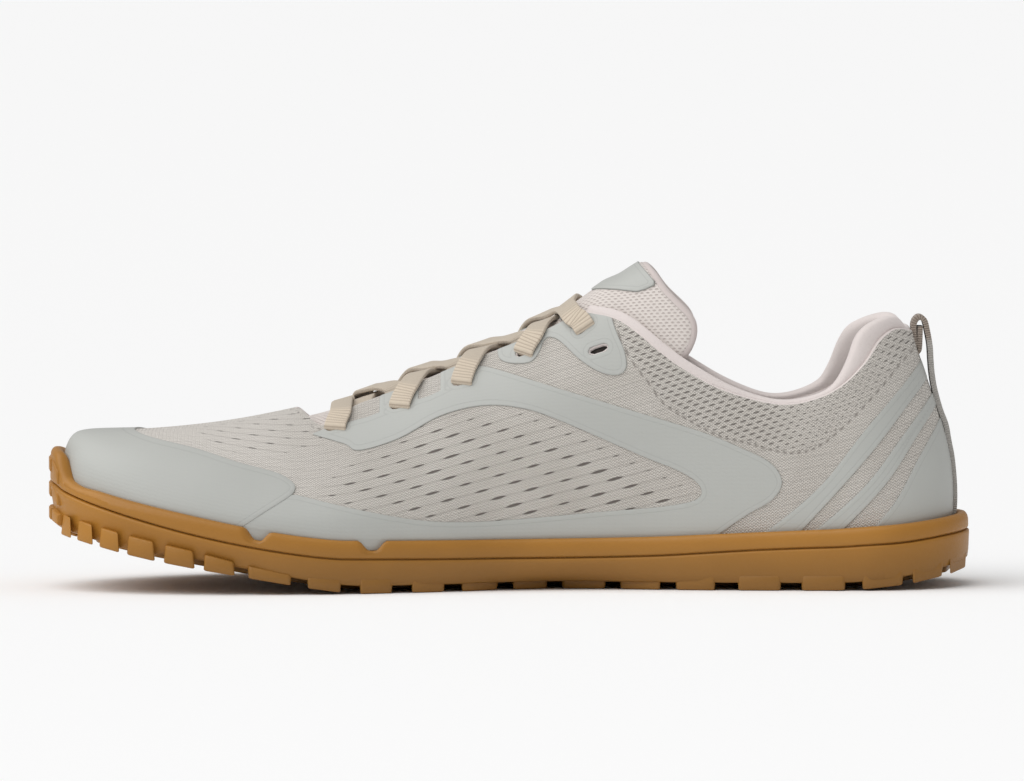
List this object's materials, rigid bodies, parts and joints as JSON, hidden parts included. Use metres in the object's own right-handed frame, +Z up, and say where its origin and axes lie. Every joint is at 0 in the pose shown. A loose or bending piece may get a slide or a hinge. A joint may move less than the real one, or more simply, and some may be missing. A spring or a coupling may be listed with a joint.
{
  "type": "barefoot shoe",
  "caption": "Low barefoot trail shoe for the right foot: thin flexible lugged sole with no heel lift, knit upper with film overlays, flat laces, padded collar and heel pull tab.",
  "frame": {"origin": "centre of the bounding box in plan, on the ground plane that the lugs rest on", "axes": "toe towards -X and heel towards +X, wearer's inner side towards -Y, +Z up; the picture shows the inner side, seen along +Y"},
  "size_m": [0.2802, 0.1078, 0.0993],
  "materials": {
    "gum_rubber": "satin gum rubber",
    "knit": "engineered knit, beige white",
    "film": "welded film, light grey, satin",
    "lining": "soft lining over foam, pinkish beige",
    "tongue_mesh": "spacer mesh, pale pink beige",
    "lace": "flat woven lace, beige",
    "webbing": "woven tape, taupe",
    "footbed": "textile over thin foam"
  },
  "bodies": {
    "root": {"outsole": "gum_rubber", "insole": "footbed", "upper": "knit", "toe_cap": "film", "inner_saddle": "film", "outer_saddle": "film", "inner_eyestay": "film", "outer_eyestay": "film", "inner_front_stripe": "film", "outer_front_stripe": "film", "inner_rear_stripe": "film", "outer_rear_stripe": "film", "inner_counter": "film", "outer_counter": "film", "tongue": "tongue_mesh", "tongue_patch": "film", "collar_roll": "lining", "heel_padding": "lining", "pull_tab": "webbing", "lace_bar": "lace", "lace_cross_1": "lace", "lace_cross_2": "lace", "lace_cross_3": "lace", "lace_cross_4": "lace"}
  },
  "joints": []
}
